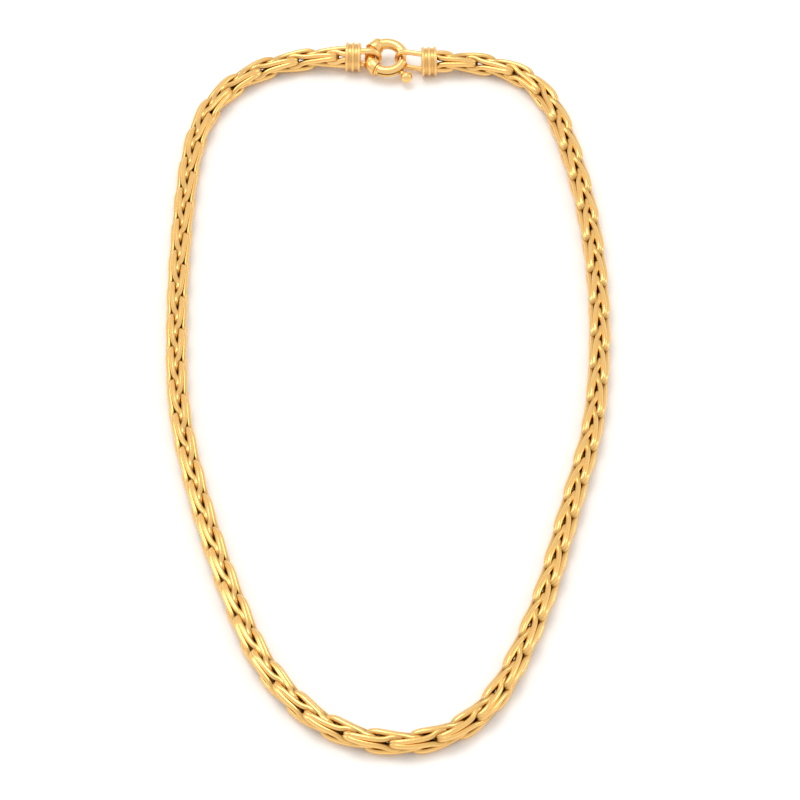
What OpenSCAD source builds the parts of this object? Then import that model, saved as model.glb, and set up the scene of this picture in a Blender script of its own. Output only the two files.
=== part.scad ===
// Palm link chain necklace with a spring ring clasp, lying as a closed loop on a flat surface.
// Millimetres, +Z up. The clasp is at +Y and the middle of the chain at -Y.
// The chain starts in the left end cap, runs down the left side, round the bottom and up to the right cap.

/* [Chain] */
// Distance from one link to the next of the same family
pitch = 8.8; // [8.8:0.02:8.9]
// Thickness of the links' wire
wire_d = 0.82; // [0.6:0.02:0.84]
// Sides of the links' wire
wire_sides = 5; // [5:1:6]
// Links of each of the two families
links_each = 49; // [47:1:49]

/* [End caps] */
// Length of an end cap
cap_len = 3.3; // [3.2:0.1:3.6]
// Outer diameter of a cap in its grooves
cap_d = 5.7; // [5.7:0.1:6]
// Diameter of the cap's open mouth
mouth_d = 5.2; // [5.2:0.1:5.3]
// Depth of the cap's hollow
cap_depth = 2.5; // [2.4:0.1:2.6]
// Thickness of the three beads round a cap
bead_d = 0.7; // [0.5:0.1:0.8]

/* [Clasp ring] */
// Outer diameter of the clasp ring
ring_d = 9.6; // [9.6:0.1:9.8]
// Diameter of the ring's tube
tube_d = 2.35; // [2.3:0.05:2.4]
// Diameter of the round channel inside the tube
channel_d = 1.5; // [1.5:0.05:1.6]
// Diameter of the two collars beside the bail
collar_d = 3.3; // [2.8:0.1:3.4]
// Length of a collar along the ring
collar_len = 1.9; // [1.6:0.1:2]
// Lean of the ring towards the inside of the loop, in degrees
ring_lean = 10; // [8:1:12]

/* [Bail and catch loop] */
// Thickness of the bail's wire
bail_wire = 1.1; // [0.9:0.1:1.1]
// Width of the bail, from strand to strand
bail_w = 3.8; // [3.8:0.1:4]
// Thickness of the catch loop's wire
loop_wire = 0.9; // [0.8:0.05:0.95]
// Width of the catch loop, from strand to strand
loop_w = 4.1; // [4.1:0.1:4.3]

/* [Trigger] */
// Thickness of the sliding gate
gate_d = 1.2; // [1:0.05:1.2]
// Diameter of the trigger's ball
ball_d = 2.5; // [2.3:0.1:2.6]
// Distance of the ball from the middle of the ring
ball_reach = 6.6; // [6.5:0.1:6.7]
// Turn that opens the gate, in degrees
travel = 56; // [46:1:56]

/* [Hidden] */
$fn = 48;
gold = "goldenrod";
eps = 0.05;

// A quarter of a link's wire, from its fold to the end of its eye: [across, outward, along]
QUARTER = [
    [0.43, 1.80, -0.36],
    [0.43, 2.15, 4.88],
    [1.42, 1.22, 8.5],
    [0.80, 0.57, 9.93]
];
// The second family starts this far after the first, as a share of the pitch
family_lag = 0.45;
// The two families' columns lie at 45 degrees to the floor
column_tilt = 45;
link_mid = 4.8;

// Path of the chain on the surface: [length, turn to the left in degrees]
ROUTE = [
    [5, 0],
    [10, 19],
    [10, 24],
    [15, 32],
    [10, 10],
    [10, 4],
    [50, 6],
    [20, 9],
    [50, 9],
    [20, 22],
    [20, 44],
    [20, 56],
    [10, 14],
    [30, 10],
    [25, -1],
    [15, 8],
    [50, 13],
    [30, 9],
    [10, 18],
    [10, 36],
    [10, 24],
    [5, -1]
];
route_start = [-7.67, 89.37];
route_heading = 177.5;
chain_len = (links_each - 1 + family_lag) * pitch + 10.2;

// Heights of the chain's axis along the sides and of the caps' axis
wire_r = wire_d / 2;
chain_z = (QUARTER[2].x + QUARTER[2].y) * sin(45) + wire_r;
cap_z = (cap_d + bead_d) / 2;
rise_len = 14;

// Places along the route of the caps' closed ends
clear = 0.12;
left_floor = QUARTER[0].z - wire_r - clear;
right_floor = (links_each - 1 + family_lag) * pitch + QUARTER[3].z + wire_r + clear;

ring_centre = [-0.39, 89.08, 3.3];
ring_r = (ring_d - tube_d) / 2;
// Angles round the ring, counted from +X towards the clasp's far side
mouth_from = -22;
mouth_to = 15;
trigger_at = -50;
collars_at = [132, 218];
stem_r = 0.45;
slot_gap = 0.15;
// The catch loop runs from the right cap into the mouth, and stands nearly upright
loop_heading = -12;
loop_tilt = 85;
loop_end = [4.3, -0.5];

// Start of each route row as [x, y, heading, distance], and the pose along a row
function along(p, row, s) =
    row[1] == 0
    ? [p[0] + s * cos(p[2]), p[1] + s * sin(p[2]), p[2], p[3] + s]
    : let(
        turn = row[1] * s / row[0],
        r = row[0] * 180 / (PI * row[1])
    )
    [
        p[0] + r * (sin(p[2] + turn) - sin(p[2])),
        p[1] - r * (cos(p[2] + turn) - cos(p[2])),
        p[2] + turn,
        p[3] + s
    ];
function row_starts(i = 0, p = [route_start.x, route_start.y, route_heading, 0]) =
    i == len(ROUTE) ? [p] : concat([p], row_starts(i + 1, along(p, ROUTE[i], ROUTE[i][0])));
STARTS = row_starts();

// Row that holds the distance s, and the pose there
function row_at(s, i = 0) = i >= len(ROUTE) - 1 || s < STARTS[i + 1][3] ? i : row_at(s, i + 1);
function pose(s) = let(i = row_at(s)) along(STARTS[i], ROUTE[i], s - STARTS[i][3]);

// The chain's axis rises smoothly to the caps' height at both ends
function near_end(s) = min(1, max(0, 1 - s / rise_len, 1 - (chain_len - s) / rise_len));
function axis_z(s) = let(t = near_end(s)) chain_z + (cap_z - chain_z) * t * t * (3 - 2 * t);

// Point of the chain at distance s, set off sideways by u and upwards by v
function on_chain(s, u, v) =
    let(p = pose(s))
    [p[0] - u * sin(p[2]), p[1] + u * cos(p[2]), axis_z(s) + v];

// The closed loop of a link's wire, from one quarter mirrored twice
function mirrored(sx, sy, back) =
    [for (i = [0 : len(QUARTER) - 1]) let(q = QUARTER[back ? len(QUARTER) - 1 - i : i]) [sx * q.x, sy * q.y, q.z]];
LOOP = concat(mirrored(1, 1, false), mirrored(-1, 1, true), mirrored(-1, -1, false), mirrored(1, -1, true));

// A loop point of the link that starts at s0, in a column turned by the angle a
function placed(q, s0, a) = on_chain(s0 + q.z, q.x * cos(a) - q.y * sin(a), q.x * sin(a) + q.y * cos(a));
// The middle of the link beside a loop point, which the wire's sides face away from
function beside(q, s0) = on_chain(s0 + link_mid + 0.7 * (q.z - link_mid), 0, 0);

function unit(v) = v / norm(v);
function ring_points(c, tangent, away) =
    let(
        e1 = unit(away - (away * tangent) * tangent),
        e2 = cross(tangent, e1)
    )
    [for (k = [0 : wire_sides - 1]) let(a = k * 360 / wire_sides) c + wire_r * (cos(a) * e1 + sin(a) * e2)];

module link(s0, a) {
    n = len(LOOP);
    path = [for (q = LOOP) placed(q, s0, a)];
    points = [
        for (i = [0 : n - 1])
            let(tangent = unit(unit(path[(i + 1) % n] - path[i]) + unit(path[i] - path[(i + n - 1) % n])))
                each ring_points(path[i], tangent, path[i] - beside(LOOP[i], s0))
    ];
    faces = [
        for (i = [0 : n - 1], k = [0 : wire_sides - 1])
            let(
                i2 = (i + 1) % n,
                k2 = (k + 1) % wire_sides,
                p = i * wire_sides + k,
                q = i * wire_sides + k2,
                r = i2 * wire_sides + k2,
                t = i2 * wire_sides + k
            )
            each [[p, q, r], [p, r, t]]
    ];
    polyhedron(points, faces);
}

// Links from number first to number last, counted over both families
module chain(first, last) {
    for (i = [first : last])
        link(floor(i / 2) * pitch + (i % 2) * family_lag * pitch, column_tilt + 90 * (i % 2));
}

module chain_left() {
    color(gold) chain(0, links_each - 1);
}

module chain_right() {
    color(gold) chain(links_each, 2 * links_each - 1);
}

// Places its children at distance s along the route, with Z along the chain
module on_route(s) {
    p = pose(s);
    translate([p[0], p[1], axis_z(s)]) rotate([0, 0, p[2]]) rotate([90, 0, 90]) children();
}

// A cup open at Z = cap_depth, with its closed end below Z = 0
module cup() {
    back = cap_len - cap_depth;
    rotate_extrude()
        difference() {
            union() {
                translate([0, -back]) square([cap_d / 2, cap_len]);
                for (z = [-back + bead_d / 2, cap_depth - cap_len / 2, cap_depth - bead_d / 2])
                    translate([cap_d / 2, z]) circle(bead_d / 2);
            }
            square([mouth_d / 2, cap_len]);
        }
}

// A round bar from one point to another, with round ends
module bar(a, b, r) {
    d = b - a;
    translate(a) {
        sphere(r);
        rotate([0, acos(d.z / norm(d)), atan2(d.y, d.x)]) cylinder(r = r, h = norm(d));
    }
    translate(b) sphere(r);
}

// A bar held by two legs that stand on the cup's floor
module staple(x, y, z, r) {
    bar([x, y, z], [-x, -y, z], r);
    bar([x, y, -eps], [x, y, z], r);
    bar([-x, -y, -eps], [-x, -y, z], r);
}

// A D shaped wire loop: its round end about the origin, its strands towards +X
module d_loop(w, wire, strand_len) {
    rotate([0, 0, 90]) rotate_extrude(angle = 180) translate([w / 2, 0]) circle(wire / 2);
    for (side = [-1, 1])
        translate([0, side * w / 2, 0]) rotate([0, 90, 0]) cylinder(r = wire / 2, h = strand_len);
}

// The first family's fold holds a bar across the cup, and the second's a staple
module end_cap_left() {
    color(gold) {
        on_route(left_floor) {
            cup();
            rotate([0, 0, column_tilt]) {
                bar([-2.65, 0, 1.5], [2.65, 0, 1.5], 0.33);
                staple(1.45, 1.45, 5.45, 0.28);
            }
        }
        bail();
    }
}

// Short upright bail from the left cap round the ring's tube
module bail() {
    x = ring_centre.x - ring_r;
    back = on_chain(left_floor - cap_len + cap_depth, 0, 0);
    translate([x, ring_centre.y, ring_centre.z])
        rotate([90, 0, 180]) d_loop(bail_w, bail_wire, x - back.x + bead_d / 2);
}

// The last links' eyes hold a bar across the cup and a staple
module end_cap_right() {
    color(gold) {
        on_route(right_floor) rotate([180, 0, 0]) {
            cup();
            rotate([0, 0, -column_tilt]) {
                bar([-2.65, 0, 1.36], [2.65, 0, 1.36], 0.3);
                staple(0, 1.55, 5.32, 0.3);
            }
        }
        catch_loop();
    }
}

// D shaped loop from the right cap, through the ring's mouth and round its gate
module catch_loop() {
    back = on_chain(right_floor + cap_len - cap_depth, 0, 0);
    end = ring_centre + [loop_end.x, loop_end.y, 0];
    translate(end) rotate([0, 0, loop_heading]) rotate([loop_tilt, 0, 0])
        d_loop(loop_w, loop_wire, norm(back - end) + bead_d / 2);
}

module in_ring() {
    translate(ring_centre) rotate([ring_lean, 0, 0]) children();
}

// Part of a ring between two angles, its section drawn at the ring's middle
module arc(from, to) {
    rotate([0, 0, from]) rotate_extrude(angle = to - from) translate([ring_r, 0]) children();
}

module clasp_ring() {
    slot_side = asin((stem_r + slot_gap) / ring_r);
    collar_side = collar_len / ring_r * 90 / PI;
    channel_end = mouth_from - travel - 40;
    color(gold) in_ring() difference() {
        union() {
            arc(mouth_to, 360 + mouth_from) circle(tube_d / 2);
            for (a = collars_at)
                arc(a - collar_side, a + collar_side) circle(collar_d / 2);
        }
        arc(channel_end, mouth_from + 2) circle(channel_d / 2);
        arc(mouth_to - 2, mouth_to + 9) circle(channel_d / 2);
        arc(trigger_at - travel - slot_side, trigger_at + slot_side)
            translate([0, -stem_r - slot_gap]) square([tube_d, 2 * (stem_r + slot_gap)]);
    }
}

module clasp_trigger() {
    color(gold) in_ring() {
        arc(mouth_from - 38, mouth_to + 5) circle(gate_d / 2);
        rotate([0, 0, trigger_at]) {
            translate([ring_r, 0, 0]) rotate([0, 90, 0]) cylinder(r = stem_r, h = ball_reach - ring_r);
            translate([ball_reach, 0, 0]) sphere(ball_d / 2);
        }
    }
}

chain_left();
chain_right();
end_cap_left();
end_cap_right();
clasp_ring();
clasp_trigger();
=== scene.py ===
"""Looks of a palm link chain necklace with a spring ring clasp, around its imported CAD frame.

Every length is in metres, written as millimetres times MM. The necklace lies as a closed loop on a
flat surface, with +Z up, the clasp at +Y and the middle of the chain at -Y.
"""

from __future__ import annotations

import logging
import math
from dataclasses import dataclass
from enum import Enum

import bpy
from mathutils import Matrix, Vector


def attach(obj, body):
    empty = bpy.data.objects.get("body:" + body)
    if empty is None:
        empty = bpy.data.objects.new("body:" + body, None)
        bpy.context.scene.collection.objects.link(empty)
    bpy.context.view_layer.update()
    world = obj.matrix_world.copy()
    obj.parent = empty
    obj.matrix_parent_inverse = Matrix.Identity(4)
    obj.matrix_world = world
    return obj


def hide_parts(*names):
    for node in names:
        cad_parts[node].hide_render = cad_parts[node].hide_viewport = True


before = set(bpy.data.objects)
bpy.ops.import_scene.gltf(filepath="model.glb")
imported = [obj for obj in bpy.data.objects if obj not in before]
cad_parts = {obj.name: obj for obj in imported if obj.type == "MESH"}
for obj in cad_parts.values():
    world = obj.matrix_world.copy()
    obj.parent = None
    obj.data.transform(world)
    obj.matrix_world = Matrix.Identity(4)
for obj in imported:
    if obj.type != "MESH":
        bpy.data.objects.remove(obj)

MM = 0.001
LOG = logging.getLogger("necklace")
# Mesh attribute that says how deep in a recess a place lies, from 0 to 1, and so how much painted shade
# darkens its colour
RECESS = "recess"
# Radius at which a turned surface closes on its axis
POLE = 0.02 * MM
# Roughness that the unpolished metal deep in a recess has over the rest
RECESS_HAZE = 0.2
# Angles in degrees past which an edge stays sharp, on turned pieces and on the links
TURNED_CREASE = 40.0
LINK_CREASE = 60.0

Point = tuple[float, float, float]
Sockets = dict[str, object]


class Body(Enum):
    """The bodies of the frame that pieces ride on."""

    NECKLACE = "necklace"
    TRIGGER = "trigger"


def linear(hex_colour: str) -> tuple[float, float, float, float]:
    """Turns an sRGB hex colour into linear RGBA.

    Args:
        hex_colour: Six hex digits, such as "F4C272".

    Returns:
        The linear red, green, blue and an alpha of 1.
    """
    parts = [int(hex_colour[i:i + 2], 16) / 255 for i in (0, 2, 4)]
    red, green, blue = (c / 12.92 if c <= 0.04045 else ((c + 0.055) / 1.055) ** 2.4 for c in parts)
    return red, green, blue, 1.0


def full_turn(sides: int) -> list[float]:
    """Gives the angles of the points of a ring, in radians."""
    return [2 * math.pi * k / sides for k in range(sides)]


def circle(centre: Vector, radius: float, first: Vector, second: Vector, sides: int) -> list[Vector]:
    """Gives a ring of points.

    Args:
        centre: Its centre.
        radius: Its radius.
        first: Direction of its first point.
        second: Direction of the point a quarter turn on.
        sides: How many points it has.

    Returns:
        The points in order.
    """
    return [centre + radius * (math.cos(a) * first + math.sin(a) * second) for a in full_turn(sides)]


def add_node(
    tree: bpy.types.NodeTree, kind: str, inputs: Sockets | None = None, **settings: object
) -> bpy.types.Node:
    """Adds a node with its settings, values and links.

    Args:
        tree: The node tree that gets the node.
        kind: The node's type name.
        inputs: Input names or numbers with a value, or with the output socket to link.
        **settings: The node's own properties.

    Returns:
        The new node.
    """
    node = tree.nodes.new(kind)
    for name, value in settings.items():
        setattr(node, name, value)
    for name, value in (inputs or {}).items():
        if isinstance(value, bpy.types.NodeSocket):
            tree.links.new(value, node.inputs[name])
        else:
            node.inputs[name].default_value = value
    return node


@dataclass(frozen=True)
class GoldFinish:
    """Yellow gold alloy: a metal, so its colour is its reflection, and its finish is its roughness.

    Attributes:
        name: The finish's plain name.
        colour: Colour where light falls straight on it.
        deep: A slightly redder tone that the alloy shows in broad soft patches.
        roughness: Roughness of the cleanest places.
        haze: How much rougher the handled places are.
        patch: Size of the soft patches, in metres.
        grain: Spacing of the fine polishing marks, in metres.
        relief: Height of those marks, in metres.
        shade: Colour of the painted shade in recesses, where the links and beads shade each other.
    """

    name: str
    colour: str
    deep: str
    roughness: float
    haze: float
    patch: float
    grain: float
    relief: float
    shade: str = "8C6420"

    def material(self) -> bpy.types.Material:
        """Builds the finish as a node material.

        Returns:
            The material.
        """
        material = bpy.data.materials.new(self.name)
        material.use_nodes = True
        tree = material.node_tree
        tree.nodes.clear()
        place = add_node(tree, "ShaderNodeTexCoord").outputs["Object"]
        patches = add_node(
            tree, "ShaderNodeTexNoise",
            {"Vector": place, "Scale": 1 / self.patch, "Detail": 2.0, "Roughness": 0.5},
        )
        tint = add_node(
            tree, "ShaderNodeMix",
            {"Factor": patches.outputs["Fac"], 6: linear(self.colour), 7: linear(self.deep)},
            data_type="RGBA",
        )
        recess = add_node(tree, "ShaderNodeAttribute", attribute_name=RECESS).outputs["Fac"]
        # Painted shade: the recess value pulls the colour towards the shade colour
        painted_shade_mix = add_node(
            tree, "ShaderNodeMix",
            {"Factor": recess, 6: tint.outputs[2], 7: linear(self.shade)},
            data_type="RGBA",
        )
        rough = add_node(
            tree, "ShaderNodeMapRange",
            {
                "Value": patches.outputs["Fac"],
                "From Min": 0.35,
                "From Max": 0.7,
                "To Min": self.roughness,
                "To Max": self.roughness + self.haze,
            },
        )
        softer = add_node(
            tree, "ShaderNodeMath",
            {0: recess, 1: RECESS_HAZE, 2: rough.outputs["Result"]},
            operation="MULTIPLY_ADD",
        )
        marks = add_node(
            tree, "ShaderNodeTexNoise",
            {"Vector": place, "Scale": 1 / self.grain, "Detail": 3.0, "Roughness": 0.6},
        )
        bump = add_node(
            tree, "ShaderNodeBump",
            {"Height": marks.outputs["Fac"], "Distance": self.relief, "Strength": 0.6},
        )
        shader = add_node(
            tree, "ShaderNodeBsdfPrincipled",
            {
                "Base Color": painted_shade_mix.outputs[2],
                "Metallic": 1.0,
                "Roughness": softer.outputs[0],
                "Normal": bump.outputs["Normal"],
            },
        )
        add_node(tree, "ShaderNodeOutputMaterial", {"Surface": shader.outputs["BSDF"]})
        return material


# Drawn and polished wire, softened a little by wear, so its reflections are broad and pale.
POLISHED_WIRE = GoldFinish(
    "Polished_18ct_gold_wire",
    colour="F9CE84", deep="F6C578", roughness=0.17, haze=0.07,
    patch=6 * MM, grain=0.5 * MM, relief=0.004 * MM,
)
# Turned on a lathe and buffed: softer reflections than the wire, as on the caps' broad beads.
BUFFED_CAP = GoldFinish(
    "Buffed_turned_18ct_gold",
    colour="FACF8A", deep="F8C87E", roughness=0.26, haze=0.08,
    patch=3 * MM, grain=0.35 * MM, relief=0.006 * MM,
)
# Stamped and polished tube of the clasp, with the faint waviness of thin metal bent to a ring.
POLISHED_CLASP = GoldFinish(
    "Polished_18ct_gold_tube",
    colour="F8CF88", deep="F6C87C", roughness=0.22, haze=0.07,
    patch=4 * MM, grain=0.6 * MM, relief=0.008 * MM,
)


class Mesher:
    """Collects vertices and faces in metres and turns them into a dressed object."""

    def __init__(self) -> None:
        """Starts with nothing."""
        self.points: list[Vector] = []
        self.faces: list[tuple[int, ...]] = []
        self.recess: dict[int, float] = {}

    def rings(self, rings: list[list[Vector]], closed: bool = False) -> None:
        """Adds a skin through rings of points.

        Args:
            rings: Rings with the same number of points each.
            closed: Whether the last ring joins the first. The ends of an open skin are filled.
        """
        first = len(self.points)
        sides = len(rings[0])
        for ring in rings:
            self.points.extend(ring)
        steps = len(rings) if closed else len(rings) - 1
        for i in range(steps):
            here = first + i * sides
            there = first + (i + 1) % len(rings) * sides
            for k in range(sides):
                turn = (k + 1) % sides
                self.faces.append((here + k, here + turn, there + turn, there + k))
        if not closed:
            last = first + (len(rings) - 1) * sides
            self.faces.append(tuple(reversed(range(first, first + sides))))
            self.faces.append(tuple(range(last, last + sides)))

    def tube(self, path: list[Vector], radius: float, sides: int) -> None:
        """Adds a round tube along an open path, its ring of points carried along without twist.

        Args:
            path: The centres of its rings.
            radius: The tube's radius.
            sides: Points in each ring.
        """
        side = (path[1] - path[0]).orthogonal()
        rings = []
        for i, centre in enumerate(path):
            tangent = (path[min(i + 1, len(path) - 1)] - path[max(i - 1, 0)]).normalized()
            side = (side - side.dot(tangent) * tangent).normalized()
            rings.append(circle(centre, radius, side, tangent.cross(side), sides))
        self.rings(rings)

    def revolve(self, outline: list[tuple[float, ...]], place: Matrix, sides: int) -> None:
        """Adds a solid of revolution about the Z axis of a place.

        Args:
            outline: (radius, height) pairs from pole to pole, each with a recess value or none.
            place: Where the axis lies.
            sides: Points round the axis.
        """
        across, over = Vector((1, 0, 0)), Vector((0, 1, 0))
        rings = []
        for radius, height, *_ in outline:
            ring = circle(Vector((0, 0, height)), radius, across, over, sides)
            rings.append([place @ point for point in ring])
        first = len(self.points)
        self.rings(rings)
        for i, (_, _, *recess) in enumerate(outline):
            for k in range(sides):
                self.recess[first + i * sides + k] = recess[0] if recess else 0.0

    def object(self, name: str, finish: GoldFinish) -> bpy.types.Object:
        """Makes the object at the origin, smooth but for its creases.

        Args:
            name: The object's name.
            finish: What it is made of.

        Returns:
            The finished object.
        """
        mesh = bpy.data.meshes.new(name)
        mesh.from_pydata([tuple(p) for p in self.points], [], self.faces)
        values = mesh.attributes.new(RECESS, "FLOAT", "POINT")
        values.data.foreach_set("value", [self.recess.get(i, 0.0) for i in range(len(self.points))])
        mesh.validate()
        return dress(mesh, name, finish, TURNED_CREASE)


def dress(mesh: bpy.types.Mesh, name: str, finish: GoldFinish, crease: float) -> bpy.types.Object:
    """Shades a mesh, gives it its finish and puts it in the scene.

    Args:
        mesh: The mesh, in place.
        name: The object's name.
        finish: What it is made of.
        crease: Angle in degrees past which an edge stays sharp.

    Returns:
        The object.
    """
    mesh.shade_smooth()
    mesh.set_sharp_from_angle(angle=math.radians(crease))
    mesh.materials.clear()
    mesh.materials.append(bpy.data.materials.get(finish.name) or finish.material())
    thing = bpy.data.objects.new(name, mesh)
    bpy.context.scene.collection.objects.link(thing)
    return thing


def deliver(thing: bpy.types.Object, body: Body, *nodes: str) -> None:
    """Declares a finished piece to the frame and reports it.

    Args:
        thing: The piece.
        body: The body that it rides on.
        *nodes: The CAD nodes that it stands for.
    """
    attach(thing, body.value)
    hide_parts(*nodes)
    LOG.info("%s: %d faces on %s", thing.name, len(thing.data.polygons), body.value)


@dataclass
class Route:
    """The path of the chain's axis: stretches of even bend, and a rise to the caps at both ends.

    Attributes:
        start: The chain's first point, in millimetres.
        heading: Its first direction, in degrees from +X.
        rows: (length in millimetres, turn to the left in degrees) of each stretch.
        low: Height of the axis along the sides, in millimetres.
        high: Height of the axis at the caps, in millimetres.
        rise: Length over which it rises, in millimetres.
        length: Length of the chain, in millimetres.
    """

    start: tuple[float, float] = (-7.67, 89.37)
    heading: float = 177.5
    rows: tuple[tuple[float, float], ...] = (
        (5, 0), (10, 19), (10, 24), (15, 32), (10, 10), (10, 4), (50, 6), (20, 9), (50, 9),
        (20, 22), (20, 44), (20, 56), (10, 14), (30, 10), (25, -1), (15, 8), (50, 13), (30, 9),
        (10, 18), (10, 36), (10, 24), (5, -1),
    )
    low: float = 2.277
    high: float = 3.2
    rise: float = 14.0
    length: float = 436.56

    def pose(self, s: float) -> tuple[Vector, float]:
        """Finds the axis at a distance along the chain.

        Args:
            s: Distance in millimetres.

        Returns:
            The point in millimetres and the heading in radians.
        """
        x, y, heading = *self.start, math.radians(self.heading)
        left = s
        for i, (length, turn) in enumerate(self.rows):
            last = i == len(self.rows) - 1
            step = left if last or left < length else length
            bend = math.radians(turn) / length
            if bend:
                x += (math.sin(heading + bend * step) - math.sin(heading)) / bend
                y -= (math.cos(heading + bend * step) - math.cos(heading)) / bend
            else:
                x += step * math.cos(heading)
                y += step * math.sin(heading)
            heading += bend * step
            left -= step
            if last or left <= 0:
                break
        t = min(1.0, max(0.0, 1 - s / self.rise, 1 - (self.length - s) / self.rise))
        return Vector((x, y, self.low + (self.high - self.low) * t * t * (3 - 2 * t))), heading

    def place(self, s: float) -> Matrix:
        """Gives the frame at a distance in millimetres, its Z along the chain, its Y up, in metres."""
        point, heading = self.pose(s)
        turn = Matrix.Rotation(heading, 4, "Z") @ Matrix.Rotation(math.pi / 2, 4, "Z")
        return Matrix.Translation(point * MM) @ turn @ Matrix.Rotation(math.pi / 2, 4, "X")

    def bend(self, point: Vector, start: float, turn: float) -> Vector:
        """Carries a point of a straight link to the route.

        Args:
            point: The point, in millimetres, with Z along the link.
            start: Where the link starts along the route.
            turn: Turn of its column about the axis, in radians.

        Returns:
            The point in metres.
        """
        spun = Matrix.Rotation(turn, 3, "Z") @ point
        middle, heading = self.pose(start + point.z)
        sideways = Vector((-math.sin(heading), math.cos(heading), 0))
        return (middle + spun.x * sideways + Vector((0, 0, spun.y))) * MM

    def curve(self, lead: float) -> bpy.types.Object:
        """Makes the axis as a curve that starts and ends a lead beyond the chain.

        Args:
            lead: Extra length at each end, in millimetres.

        Returns:
            A curve object, in metres.
        """
        count = int(self.length + 2 * lead) * 2
        stations = [-lead + (self.length + 2 * lead) * i / count for i in range(count + 1)]
        data = bpy.data.curves.new("chain_axis", "CURVE")
        data.dimensions = "3D"
        spline = data.splines.new("POLY")
        spline.points.add(count)
        for point, s in zip(spline.points, stations):
            point.co = (*(self.pose(s)[0] * MM), 1)
        return bpy.data.objects.new("chain_axis", data)


@dataclass
class PalmLink:
    """One link: a closed wire ring, pinched to a twin band at its fold and open at its eye.

    Attributes:
        quarter: (across, outward, along) in millimetres, from the fold's middle to the eye's end.
        wire: Thickness of the wire, in millimetres.
        sides: Sides of the wire.
        steps: Rings of the wire between two points of the quarter.
        middle: Where along the link its middle lies, in millimetres.
    """

    quarter: tuple[Point, ...] = (
        (0.30, 0.00, -0.35),
        (0.30, 1.00, -0.35),
        (0.31, 1.52, 0.15),
        (0.38, 1.80, 1.20),
        (0.48, 1.80, 2.60),
        (0.54, 1.66, 4.30),
        (0.57, 1.48, 5.80),
        (0.72, 1.28, 7.20),
        (1.10, 1.00, 8.40),
        (1.12, 0.90, 9.40),
        (0.88, 0.70, 10.10),
        (0.00, 0.50, 10.45),
    )
    wire: float = 1.2
    sides: int = 12
    steps: int = 3
    middle: float = 4.8

    def loop(self) -> list[Vector]:
        """Mirrors the quarter into the whole ring and rounds it.

        Returns:
            The wire's centres, in millimetres.
        """
        quarter = list(self.quarter)
        inner = quarter[1:-1]
        ring = [quarter[0], *inner, quarter[-1]]
        ring += [(-x, y, z) for x, y, z in reversed(inner)]
        ring += [(-quarter[0][0], 0.0, quarter[0][2])]
        ring += [(-x, -y, z) for x, y, z in inner]
        ring += [(0.0, -quarter[-1][1], quarter[-1][2])]
        ring += [(x, -y, z) for x, y, z in reversed(inner)]
        corners = [Vector(p) for p in ring]
        count = len(corners)
        path = []
        for i in range(count):
            a, b, c, d = (corners[(i + k) % count] for k in (-1, 0, 1, 2))
            for k in range(self.steps):
                t = k / self.steps
                bend = (2 * a - 5 * b + 4 * c - d) * t + (3 * b - a - 3 * c + d) * t * t
                path.append(b + 0.5 * t * (c - a + bend))
        return path

    def halves(self, from_z: float, to_z: float) -> list[list[Vector]]:
        """Cuts the ring and keeps the two stretches between two heights.

        Args:
            from_z: Least height that is kept, in millimetres.
            to_z: Greatest height that is kept.

        Returns:
            The two open paths.
        """
        path = self.loop()
        kept = [from_z <= p.z <= to_z for p in path]
        first = next(i for i in range(len(path)) if kept[i] and not kept[i - 1])
        stretches: list[list[Vector]] = []
        for i in range(first, first + len(path)):
            if kept[i % len(path)]:
                if not kept[(i - 1) % len(path)]:
                    stretches.append([])
                stretches[-1].append(path[i % len(path)])
        return stretches

    def mesh(self) -> bpy.types.Mesh:
        """Makes the link's mesh with Z along the chain, in metres.

        Returns:
            The mesh.
        """
        path = self.loop()
        count = len(path)
        mesher = Mesher()
        rings = []
        for i, centre in enumerate(path):
            tangent = (path[(i + 1) % count] - path[i - 1]).normalized()
            # Each ring of points starts on the side away from a point inside the link
            core = Vector((0, 0, self.middle + 0.7 * (centre.z - self.middle)))
            out = centre - core
            out = (out - out.dot(tangent) * tangent).normalized()
            ring = circle(centre, self.wire / 2, out, tangent.cross(out), self.sides)
            rings.append([point * MM for point in ring])
        mesher.rings(rings, closed=True)
        mesh = bpy.data.meshes.new("palm_link")
        mesh.from_pydata([tuple(p) for p in mesher.points], [], mesher.faces)
        return mesh


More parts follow.
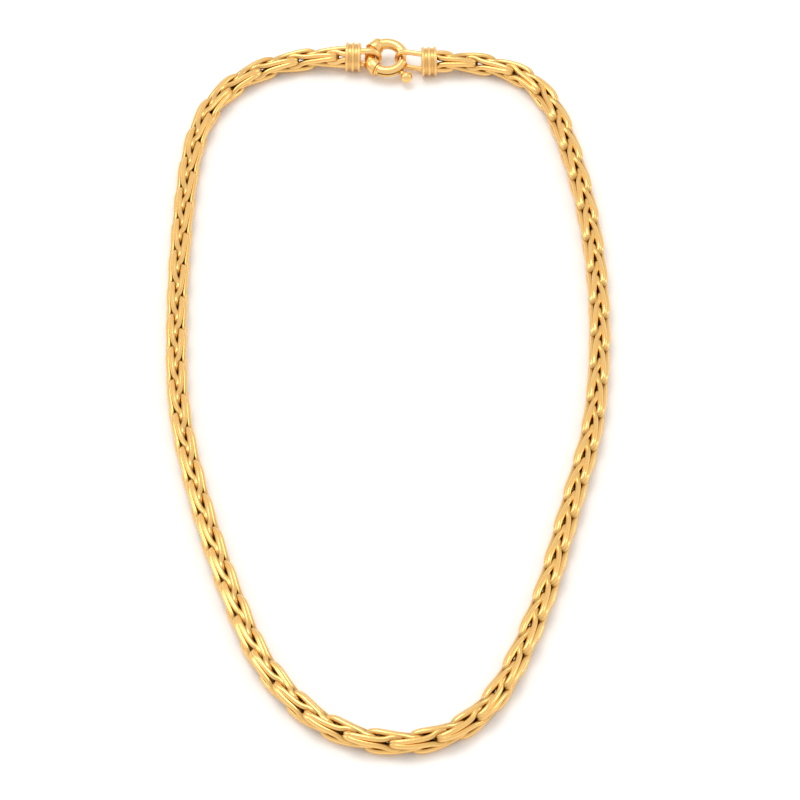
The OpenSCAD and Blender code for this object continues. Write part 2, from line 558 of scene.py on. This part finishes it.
@dataclass
class PalmChain:
    """The two halves of the chain, each 49 links set along the route by Geometry Nodes.

    Attributes:
        route: The axis that the links follow.
        link: The shape of each link.
        pitch: Distance between links of one family, in millimetres.
        lag: How far the second family starts after the first, as a share of the pitch.
        tilt: Turn of the first family's columns about the axis, in degrees.
        half: Links in each half.
        lead: Spare length of the axis at each end, in millimetres.
        crest: Distance from the axis past which the wire gets no painted shade, in millimetres.
        core: Distance from the axis within which the wire gets full painted shade.
    """

    route: Route
    link: PalmLink
    pitch: float = 8.8
    lag: float = 0.45
    tilt: float = 45.0
    half: int = 49
    lead: float = 4.0
    crest: float = 2.15
    core: float = 1.15

    def tree(self, finish: GoldFinish) -> bpy.types.NodeTree:
        """Builds the node tree that sets copies of a link along a curve and bends them to it.

        Args:
            finish: What the links are made of.

        Returns:
            The node tree.
        """
        tree = bpy.data.node_groups.new("links_along_route", "GeometryNodeTree")
        face = tree.interface
        face.new_socket("Geometry", in_out="OUTPUT", socket_type="NodeSocketGeometry")
        face.new_socket("Geometry", in_out="INPUT", socket_type="NodeSocketGeometry")
        face.new_socket("Route", in_out="INPUT", socket_type="NodeSocketObject")
        face.new_socket("Links", in_out="INPUT", socket_type="NodeSocketInt")
        face.new_socket("First link", in_out="INPUT", socket_type="NodeSocketInt")
        for name in ("Pitch", "Lag", "Tilt", "Lead"):
            face.new_socket(name, in_out="INPUT", socket_type="NodeSocketFloat")
        given = add_node(tree, "NodeGroupInput").outputs

        def math_node(operation: str, a: object, b: object = 0.0) -> bpy.types.NodeSocket:
            """Adds one sum and gives its result."""
            return add_node(tree, "ShaderNodeMath", {0: a, 1: b}, operation=operation).outputs[0]

        def vector_node(
            operation: str, inputs: Sockets, output: str = "Vector"
        ) -> bpy.types.NodeSocket:
            """Adds one sum of vectors and gives its result."""
            node = add_node(tree, "ShaderNodeVectorMath", inputs, operation=operation)
            return node.outputs[output]

        index = add_node(tree, "GeometryNodeInputIndex").outputs[0]
        number = math_node("ADD", index, given["First link"])
        family = math_node("MODULO", number, 2.0)
        rank = math_node("FLOOR", math_node("DIVIDE", number, 2.0))
        late = math_node("MULTIPLY", family, given["Lag"])
        along = math_node("MULTIPLY", math_node("ADD", rank, late), given["Pitch"])
        turn = math_node("ADD", given["Tilt"], math_node("MULTIPLY", family, math.pi / 2))
        place = add_node(tree, "ShaderNodeCombineXYZ", {"Z": along}).outputs[0]
        spin = add_node(tree, "ShaderNodeCombineXYZ", {"Z": turn}).outputs[0]
        spots = add_node(
            tree, "GeometryNodePoints", {"Count": given["Links"], "Position": place},
        ).outputs[0]
        copies = add_node(
            tree, "GeometryNodeInstanceOnPoints",
            {"Points": spots, "Instance": given["Geometry"], "Rotation": spin},
        ).outputs[0]
        solid = add_node(tree, "GeometryNodeRealizeInstances", {0: copies}).outputs[0]

        spot = add_node(tree, "GeometryNodeInputPosition").outputs[0]
        parts = add_node(tree, "ShaderNodeSeparateXYZ", {0: spot}).outputs
        axis = add_node(tree, "GeometryNodeObjectInfo", {0: given["Route"]}, transform_space="RELATIVE")
        sample = add_node(
            tree, "GeometryNodeSampleCurve",
            {"Curves": axis.outputs["Geometry"], "Length": math_node("ADD", parts[2], given["Lead"])},
            mode="LENGTH", use_all_curves=True,
        ).outputs
        across = vector_node("CROSS_PRODUCT", {0: (0.0, 0.0, 1.0), 1: sample["Tangent"]})
        level = vector_node("NORMALIZE", {0: across})
        sideways = vector_node("SCALE", {0: level, "Scale": parts[0]})
        upward = add_node(tree, "ShaderNodeCombineXYZ", {"Z": parts[1]}).outputs[0]
        offset = vector_node("ADD", {0: sideways, 1: upward})
        bent = vector_node("ADD", {0: sample["Position"], 1: offset})
        flat = add_node(tree, "ShaderNodeCombineXYZ", {"X": parts[0], "Y": parts[1]}).outputs[0]
        radius = vector_node("LENGTH", {0: flat}, "Value")
        # Painted shade: the recess value grows towards the chain's axis, where the links shade each
        # other, and darkens the colour there
        depth = add_node(
            tree, "ShaderNodeMapRange",
            {
                "Value": radius,
                "From Min": self.crest * MM,
                "From Max": self.core * MM,
                "To Min": 0.0,
                "To Max": 1.0,
            },
        ).outputs["Result"]
        marked = add_node(
            tree, "GeometryNodeStoreNamedAttribute",
            {"Geometry": solid, "Name": RECESS, "Value": depth},
        ).outputs[0]
        chain = add_node(
            tree, "GeometryNodeSetPosition", {"Geometry": marked, "Position": bent},
        ).outputs[0]
        gold = bpy.data.materials.get(finish.name) or finish.material()
        dressed = add_node(
            tree, "GeometryNodeSetMaterial", {"Geometry": chain, "Material": gold},
        ).outputs[0]
        add_node(tree, "NodeGroupOutput", {"Geometry": dressed})
        return tree

    def half_link(self, number: int, from_z: float, to_z: float) -> list[list[Vector]]:
        """Gives the paths of a half link at a place in the chain's order.

        Args:
            number: Its place, counted over both families.
            from_z: Least height of the link that is kept, in millimetres.
            to_z: Greatest height that is kept.

        Returns:
            Two open paths, in metres.
        """
        start = (number // 2 + number % 2 * self.lag) * self.pitch
        turn = math.radians(self.tilt + 90 * (number % 2))
        halves = self.link.halves(from_z, to_z)
        return [[self.route.bend(p, start, turn) for p in path] for path in halves]

    def build(self, finish: GoldFinish) -> None:
        """Makes both halves and hands them to the frame.

        Args:
            finish: What the links are made of.
        """
        tree = self.tree(finish)
        axis = self.route.curve(self.lead)
        bpy.context.scene.collection.objects.link(axis)
        inputs = [item for item in tree.interface.items_tree if item.in_out == "INPUT"]
        names = {item.name: item.identifier for item in inputs}
        for node, first in (("chain_left", 0), ("chain_right", self.half)):
            maker = bpy.data.objects.new("link_maker", self.link.mesh())
            bpy.context.scene.collection.objects.link(maker)
            nodes = maker.modifiers.new("links", "NODES")
            nodes.node_group = tree
            values = {
                "Route": axis,
                "Links": self.half,
                "First link": first,
                "Pitch": self.pitch * MM,
                "Lag": self.lag,
                "Tilt": math.radians(self.tilt),
                "Lead": self.lead * MM,
            }
            for name, value in values.items():
                nodes[names[name]] = value
            bpy.context.view_layer.update()
            evaluated = maker.evaluated_get(bpy.context.evaluated_depsgraph_get())
            mesh = bpy.data.meshes.new_from_object(evaluated)
            bpy.data.objects.remove(maker)
            deliver(dress(mesh, f"{node}_links", finish, LINK_CREASE), Body.NECKLACE, node)
        bpy.data.objects.remove(axis)


def arc_points(
    centre: tuple[float, float], radius: float, start: float, end: float, steps: int
) -> list[tuple[float, float]]:
    """Gives points along an arc in a plane.

    Args:
        centre: The arc's centre.
        radius: Its radius.
        start: First angle, in degrees.
        end: Last angle, in degrees.
        steps: How many stretches it is cut into.

    Returns:
        The points, from first to last.
    """
    turns = [math.radians(start + (end - start) * i / steps) for i in range(steps + 1)]
    return [(centre[0] + radius * math.cos(a), centre[1] + radius * math.sin(a)) for a in turns]


@dataclass
class EndCap:
    """A turned cup with three beads, its hidden anchor bars and its wire loop, soldered together.

    Attributes:
        node: The CAD node that it stands for.
        place: Frame of the cup, its Z from the closed end to the mouth.
        length: Length of the cup.
        groove: Its radius between the beads.
        bead: Width of a bead.
        mouth: Radius of its hollow.
        depth: Depth of its hollow.
        bar: Radius of the hidden bar across the hollow.
        bar_height: Height of that bar over the hollow's floor.
        bar_turn: Turn of that bar about the cup's axis, in degrees.
        groove_shade: Strength of the painted shade at the bottom of the grooves between the beads, as a
            recess value.
        chamfer: Width of the mouth's broken edge.
        fillet: Width of the corner at the hollow's floor.
    """

    node: str
    place: Matrix
    length: float = 3.3 * MM
    groove: float = 2.85 * MM
    bead: float = 0.7 * MM
    mouth: float = 2.6 * MM
    depth: float = 2.5 * MM
    bar: float = 0.3 * MM
    bar_height: float = 1.5 * MM
    bar_turn: float = 45.0
    groove_shade: float = 0.3
    chamfer: float = 0.08 * MM
    fillet: float = 0.15 * MM

    def outline(self) -> list[tuple[float, ...]]:
        """Draws the cup's section from the middle of its closed end to the middle of its hollow."""
        back = self.depth - self.length
        half = self.bead / 2
        points: list[tuple[float, ...]] = [(POLE, back)]
        for z in (back + half, self.depth - self.length / 2, self.depth - half):
            for radius, height in arc_points((self.groove, z), half, -88, 88, 12):
                # Painted shade: the bottom of each groove gets a recess value, which darkens its colour
                low = 1 - (radius - self.groove) / (0.6 * half)
                inside = back + half <= height <= self.depth - half
                points.append((radius, height, max(0.0, low) * self.groove_shade if inside else 0.0))
        points += [(self.mouth + self.chamfer, self.depth), (self.mouth, self.depth - self.chamfer)]
        points += [(self.mouth, self.fillet), (self.mouth - self.fillet, 0.0), (POLE, 0.0)]
        return points

    def build(
        self, loop: WireLoop, half_link: list[list[Vector]], wire: float, finish: GoldFinish
    ) -> None:
        """Makes the cap with its loop and hands it to the frame.

        Args:
            loop: The wire loop that is soldered to its closed end.
            half_link: Paths of the half link that is soldered into the cup and holds the chain.
            wire: Thickness of that half link.
            finish: What it is made of.
        """
        mesher = Mesher()
        mesher.revolve(self.outline(), self.place, 96)
        column = self.place @ Matrix.Rotation(math.radians(self.bar_turn), 4, "Z")
        reach = self.mouth + 0.05 * MM
        ends = [column @ Vector((x, 0, self.bar_height)) for x in (-reach, reach)]
        mesher.tube(ends, self.bar, 16)
        for path in half_link:
            mesher.tube(path, wire / 2, 14)
        loop.add_to(mesher)
        deliver(mesher.object(f"{self.node}_cup", finish), Body.NECKLACE, self.node)


@dataclass
class WireLoop:
    """A D shaped wire loop: its round end about the origin of its place, its strands towards +X.

    Attributes:
        place: Frame of the loop, which lies in its XY plane.
        width: From strand to strand.
        wire: Thickness of the wire.
        reach: Length of the strands.
    """

    place: Matrix
    width: float
    wire: float
    reach: float

    def add_to(self, mesher: Mesher) -> None:
        """Adds the loop to a piece.

        Args:
            mesher: Where it goes.
        """
        half = self.width / 2
        flat = [(self.reach, half), *arc_points((0, 0), half, 90, 270, 32), (self.reach, -half)]
        path = [self.place @ Vector((x, y, 0)) for x, y in flat]
        mesher.tube(path, self.wire / 2, 20)


@dataclass
class SpringRing:
    """The clasp: a hollow ring with a mouth, a travel slot and two collars, and its sliding trigger.

    Attributes:
        centre: The ring's centre.
        lean: Its lean towards the inside of the loop, in degrees.
        radius: Radius of the middle of its tube.
        tube: Radius of the tube.
        channel: Radius of the channel inside it.
        mouth: Angles of the mouth's two lips, in degrees.
        collars: Angles of the two collars.
        collar_radius: Radius of a collar.
        collar_length: Length of a collar along the ring.
        trigger: Angle of the trigger's stem.
        travel: Turn that opens the gate, in degrees.
        stem: Radius of the stem in the slot.
        gap: Room between the stem and the slot.
        gate: Radius of the gate's wire.
        ball: Radius of the trigger's ball.
        reach: Distance of the ball from the ring's centre.
        grip: Depth of the gate's seat in the mouth's fixed lip, in degrees.
        overlap: How far the closed gate reaches into that seat.
        tail: Length of the gate behind the mouth's other lip, in degrees.
        edge: Width of the collars' rounded rims.
        flange: Distance from a collar to the thin flange beside it.
    """

    centre: Vector
    lean: float = 10.0
    radius: float = 3.625 * MM
    tube: float = 1.172 * MM
    channel: float = 0.75 * MM
    mouth: tuple[float, float] = (-22.0, 15.0)
    collars: tuple[float, float] = (132.0, 218.0)
    collar_radius: float = 1.72 * MM
    collar_length: float = 2.0 * MM
    trigger: float = -50.0
    travel: float = 56.0
    stem: float = 0.45 * MM
    gap: float = 0.15 * MM
    gate: float = 0.6 * MM
    ball: float = 1.25 * MM
    reach: float = 6.6 * MM
    grip: float = 9.0
    overlap: float = 5.0
    tail: float = 38.0
    edge: float = 0.08 * MM
    flange: float = 0.25 * MM

    @property
    def place(self) -> Matrix:
        """Frame of the ring, its Z along the axis that the trigger turns about."""
        return Matrix.Translation(self.centre) @ Matrix.Rotation(math.radians(self.lean), 4, "X")

    def spot(self, angle: float, out: float, up: float) -> Vector:
        """Gives a point of the ring.

        Args:
            angle: Degrees round the ring.
            out: Distance from the middle of the tube, away from the hole.
            up: Height over the ring's plane.

        Returns:
            The point in the frame's coordinates.
        """
        a = math.radians(angle)
        reach = self.radius + out
        return self.place @ Vector((reach * math.cos(a), reach * math.sin(a), up))

    def arc(self, start: float, end: float, steps: int) -> list[Vector]:
        """Gives the middle of the tube between two angles in degrees."""
        return [self.spot(start + (end - start) * i / steps, 0, 0) for i in range(steps + 1)]

    def body(self, mesher: Mesher) -> None:
        """Adds the hollow tube with its mouth and slot, as two skins joined at the rims.

        Args:
            mesher: Where it goes.
        """
        start, end = self.mouth[1], 360 + self.mouth[0]
        slot_side = math.degrees(math.asin((self.stem + self.gap) / self.radius))
        slot_from = 360 + self.trigger - self.travel - slot_side
        slot_to = 360 + self.trigger + slot_side
        # The open gate's tail ends 2 degrees before the channel does
        channel_from = 360 + self.mouth[0] - self.travel - self.tail - 2
        grip_end = start + self.grip
        stops = [start, grip_end, channel_from, slot_from, slot_to, end]
        angles: list[float] = []
        for a, b in zip(stops, stops[1:]):
            steps = max(2, round((b - a) / 2))
            angles += [a + (b - a) * i / steps for i in range(steps)]
        angles.append(end)
        lip = math.degrees(math.asin((self.stem + self.gap) / self.tube))
        # Strips round the tube, away from the slot and across it
        sides, strips = 40, 6
        rounds = [lip + (360 - 2 * lip) * k / sides for k in range(sides + 1)]
        rounds += [-lip + 2 * lip * k / strips for k in range(1, strips)]
        count = len(rounds)
        base = len(mesher.points)
        for radius in (self.tube, self.channel):
            for angle in angles:
                for turn in rounds:
                    t = math.radians(turn)
                    mesher.points.append(self.spot(angle, radius * math.cos(t), radius * math.sin(t)))
        inner = len(angles) * count

        def skin(i: int, k: int, shift: int) -> int:
            """Number of a point of the outer or inner skin."""
            return base + shift + i * count + k % count

        def in_slot(k: int) -> bool:
            """Whether a strip faces the slot."""
            return k >= sides

        def hollow(angle: float) -> bool:
            """Whether the channel runs under a section."""
            return angle < grip_end - 0.01 or angle > channel_from - 0.01

        for i in range(len(angles) - 1):
            middle = (angles[i] + angles[i + 1]) / 2
            slotted = slot_from < middle < slot_to
            for k in range(count):
                open_here = slotted and in_slot(k)
                a, b, c, d = (i, k), (i + 1, k), (i + 1, k + 1), (i, k + 1)
                if not open_here:
                    mesher.faces.append(tuple(skin(*p, 0) for p in (a, b, c, d)))
                    if hollow(middle):
                        mesher.faces.append(tuple(skin(*p, inner) for p in (d, c, b, a)))
                if slotted and k in (sides, count - 1):
                    edge = k if k == sides else k + 1
                    corners = ((i, 0), (i + 1, 0), (i + 1, inner), (i, inner))
                    wall = tuple(skin(at, edge, shift) for at, shift in corners)
                    mesher.faces.append(wall if k == sides else wall[::-1])
        for i, angle in enumerate(angles):
            for k in range(count):
                outer = (skin(i, k, 0), skin(i, k + 1, 0))
                inside = (skin(i, k, inner), skin(i, k + 1, inner))
                if i == 0:
                    mesher.faces.append((outer[0], outer[1], inside[1], inside[0]))
                elif i == len(angles) - 1:
                    mesher.faces.append((outer[1], outer[0], inside[0], inside[1]))
                elif in_slot(k) and abs(angle - slot_from) < 0.01:
                    mesher.faces.append((outer[1], outer[0], inside[0], inside[1]))
                elif in_slot(k) and abs(angle - slot_to) < 0.01:
                    mesher.faces.append((outer[0], outer[1], inside[1], inside[0]))
            if abs(angle - grip_end) < 0.01:
                mesher.faces.append(tuple(skin(i, k, inner) for k in range(count)))
            elif abs(angle - channel_from) < 0.01:
                mesher.faces.append(tuple(skin(i, count - 1 - k, inner) for k in range(count)))

    def collar(self, mesher: Mesher, angle: float, outward: int) -> None:
        """Adds a collar with rounded rims and a thin flange beside it.

        Args:
            mesher: Where it goes.
            angle: Its middle, in degrees.
            outward: 1 where the flange lies at a larger angle, -1 at a smaller one.
        """
        per = math.degrees(1 / self.radius)
        half = self.collar_length / 2
        edge = self.edge
        foot = self.tube - self.collar_radius
        rim = [(-half, foot), (-half, -edge), (-half + edge * 0.3, -edge * 0.3), (-half + edge, 0.0)]
        collar = [*rim, *((-along, drop) for along, drop in reversed(rim))]
        # The flange's section: places along the ring from its middle, and drops under the collar's rim
        middle = half + self.flange
        side = [(-0.14 * MM, -0.4 * MM), (-0.1 * MM, -0.24 * MM)]
        band = [*side, *((-along, drop) for along, drop in reversed(side))]
        band = [((middle + along) * outward, drop) for along, drop in band][::outward]
        centre, out, up = Vector((0, 0)), Vector((1, 0)), Vector((0, 1))
        for profile in (collar, band):
            rings = []
            for along, drop in profile:
                spots = circle(centre, self.collar_radius + drop, out, up, 48)
                rings.append([self.spot(angle + along * per, *spot) for spot in reversed(spots)])
            mesher.rings(rings)

    def build_ring(self, finish: GoldFinish) -> None:
        """Makes the ring and hands it to the frame.

        Args:
            finish: What it is made of.
        """
        mesher = Mesher()
        self.body(mesher)
        for angle, outward in zip(self.collars, (-1, 1)):
            self.collar(mesher, angle, outward)
        deliver(mesher.object("clasp_ring_tube", finish), Body.NECKLACE, "clasp_ring")

    def build_trigger(self, finish: GoldFinish) -> None:
        """Makes the gate with its stem and ball and hands it to the frame.

        Args:
            finish: What it is made of.
        """
        mesher = Mesher()
        gate = self.arc(self.mouth[0] - self.tail, self.mouth[1] + self.overlap, 48)
        mesher.tube(gate, self.gate, 24)
        stem_place = self.place @ Matrix.Rotation(math.radians(self.trigger), 4, "Z")
        stem_place = stem_place @ Matrix.Translation((self.radius, 0, 0))
        stem_place = stem_place @ Matrix.Rotation(math.pi / 2, 4, "Y")
        height = self.reach - self.radius
        meet = math.degrees(math.acos(self.stem * 1.35 / self.ball))
        outline = [(POLE, 0.0), (self.stem, 0.0), (self.stem, self.tube + 0.05 * MM)]
        outline += [(self.stem * 1.25, self.tube + 0.2 * MM)]
        outline += [(self.stem * 1.3, height - self.ball * 1.02)]
        outline += arc_points((0, height), self.ball, -meet, 89.5, 28)
        mesher.revolve(outline, stem_place, 48)
        deliver(mesher.object("clasp_trigger_gate", finish), Body.TRIGGER, "clasp_trigger")


@dataclass
class Studio:
    """The pale floor, the soft lights and the camera.

    Attributes:
        target: Point of the surface in the middle of the picture.
        elevation: The camera's height over the surface, in degrees.
        distance: Its distance from the target.
        pixels: How many pixels of the 800 the camera's distance spans.
        reach: Half the floor's width, in metres.
        room: Strength of the light from all round.
    """

    target: Vector
    elevation: float = 50.0
    distance: float = 913.5 * MM
    pixels: float = 4500.0
    reach: float = 3.0
    room: float = 0.92

    def camera(self) -> None:
        """Sets the camera at the photograph's angle."""
        data = bpy.data.cameras.new("camera")
        data.sensor_width = 36
        data.lens = 36 * self.pixels / 800
        data.clip_end = 10
        eye = bpy.data.objects.new("camera", data)
        tilt = math.radians(self.elevation)
        eye.location = self.target + self.distance * Vector((0, -math.cos(tilt), math.sin(tilt)))
        eye.rotation_euler = (math.pi / 2 - tilt, 0, 0)
        bpy.context.scene.collection.objects.link(eye)
        bpy.context.scene.camera = eye

    def floor(self) -> None:
        """Lays a plain pale floor."""
        mesh = bpy.data.meshes.new("floor")
        corners = [(-self.reach, -self.reach, 0), (self.reach, -self.reach, 0)]
        corners += [(self.reach, self.reach, 0), (-self.reach, self.reach, 0)]
        mesh.from_pydata(corners, [], [(0, 1, 2, 3)])
        material = bpy.data.materials.new("Matt_white_paper")
        material.use_nodes = True
        shader = material.node_tree.nodes["Principled BSDF"]
        shader.inputs["Base Color"].default_value = linear("FDFDFD")
        shader.inputs["Roughness"].default_value = 0.9
        mesh.materials.append(material)
        floor = bpy.data.objects.new("floor", mesh)
        bpy.context.scene.collection.objects.link(floor)

    def lamp(self, name: str, place: Point, size: tuple[float, float], power: float) -> None:
        """Adds a soft box that faces the necklace.

        Args:
            name: The lamp's name.
            place: Where it hangs.
            size: Its width and height.
            power: Its power in watts.
        """
        data = bpy.data.lights.new(name, "AREA")
        data.shape = "RECTANGLE"
        data.size, data.size_y = size
        data.energy = power
        lamp = bpy.data.objects.new(name, data)
        lamp.location = place
        lamp.rotation_euler = (self.target - Vector(place)).to_track_quat("-Z", "Y").to_euler()
        bpy.context.scene.collection.objects.link(lamp)

    def light(self) -> None:
        """Lights the necklace from a pale room with three soft boxes."""
        world = bpy.data.worlds.new("room")
        world.use_nodes = True
        backdrop = world.node_tree.nodes["Background"]
        backdrop.inputs["Color"].default_value = linear("FFFEFC")
        backdrop.inputs["Strength"].default_value = self.room
        bpy.context.scene.world = world
        self.lamp("top_box", place=(-0.2, 0.3, 1.1), size=(0.6, 0.5), power=3.4)
        self.lamp("left_box", place=(-1.0, 0.1, 0.6), size=(0.3, 0.6), power=1.2)
        self.lamp("right_box", place=(1.0, 0.2, 0.5), size=(0.3, 0.5), power=1.0)
        bpy.context.scene.view_settings.view_transform = "Standard"


def main() -> None:
    """Builds the necklace, the clasp and the studio."""
    logging.basicConfig(level=logging.INFO, format="%(name)s: %(message)s")
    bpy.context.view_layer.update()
    studio = Studio(target=Vector((2.46, -4.58, 0)) * MM)
    studio.camera()
    studio.floor()
    studio.light()

    route = Route()
    link = PalmLink()
    chain = PalmChain(route, link)
    chain.build(POLISHED_WIRE)

    # Where the floors of the two caps' hollows lie along the route, and the cups' outside past them
    left_floor, right_floor, cap_back = -0.89, 436.82, 0.8
    # How far the strands of a loop are sunk into the solder of its cap
    sunk = 0.35 * MM
    upright = Matrix.Rotation(math.pi / 2, 4, "X")
    ring = SpringRing(centre=Vector((-0.39, 89.08, 3.3)) * MM)

    bail_centre = ring.centre + Vector((-ring.radius, 0, 0))
    left_back = route.place(left_floor - cap_back).translation
    bail = WireLoop(
        place=Matrix.Translation(bail_centre) @ Matrix.Rotation(math.pi, 4, "Z") @ upright,
        width=3.95 * MM,
        wire=1.35 * MM,
        reach=bail_centre.x - left_back.x + sunk,
    )
    # The eye of the link before the first, cut off inside the cup
    left_half = chain.half_link(-1, from_z=5.1, to_z=20.0)
    left_cap = EndCap("end_cap_left", route.place(left_floor))
    left_cap.build(bail, left_half, link.wire * MM, BUFFED_CAP)

    catch_centre = ring.centre + Vector((4.3, -0.5, 0)) * MM
    right_back = route.place(right_floor + cap_back).translation
    catch_turn = Matrix.Rotation(math.radians(-12), 4, "Z") @ Matrix.Rotation(math.radians(85), 4, "X")
    catch = WireLoop(
        place=Matrix.Translation(catch_centre) @ catch_turn,
        width=4.2 * MM,
        wire=1.15 * MM,
        reach=(right_back - catch_centre).length + sunk,
    )
    # The fold of the link after the last, cut off in the same way
    right_half = chain.half_link(2 * chain.half, from_z=-1.0, to_z=4.6)
    right_place = route.place(right_floor) @ Matrix.Rotation(math.pi, 4, "X")
    right_cap = EndCap("end_cap_right", right_place, bar_height=1.36 * MM, bar_turn=-45.0)
    right_cap.build(catch, right_half, link.wire * MM, BUFFED_CAP)
    ring.build_ring(POLISHED_CLASP)
    ring.build_trigger(POLISHED_CLASP)


if __name__ == "__main__":
    main()
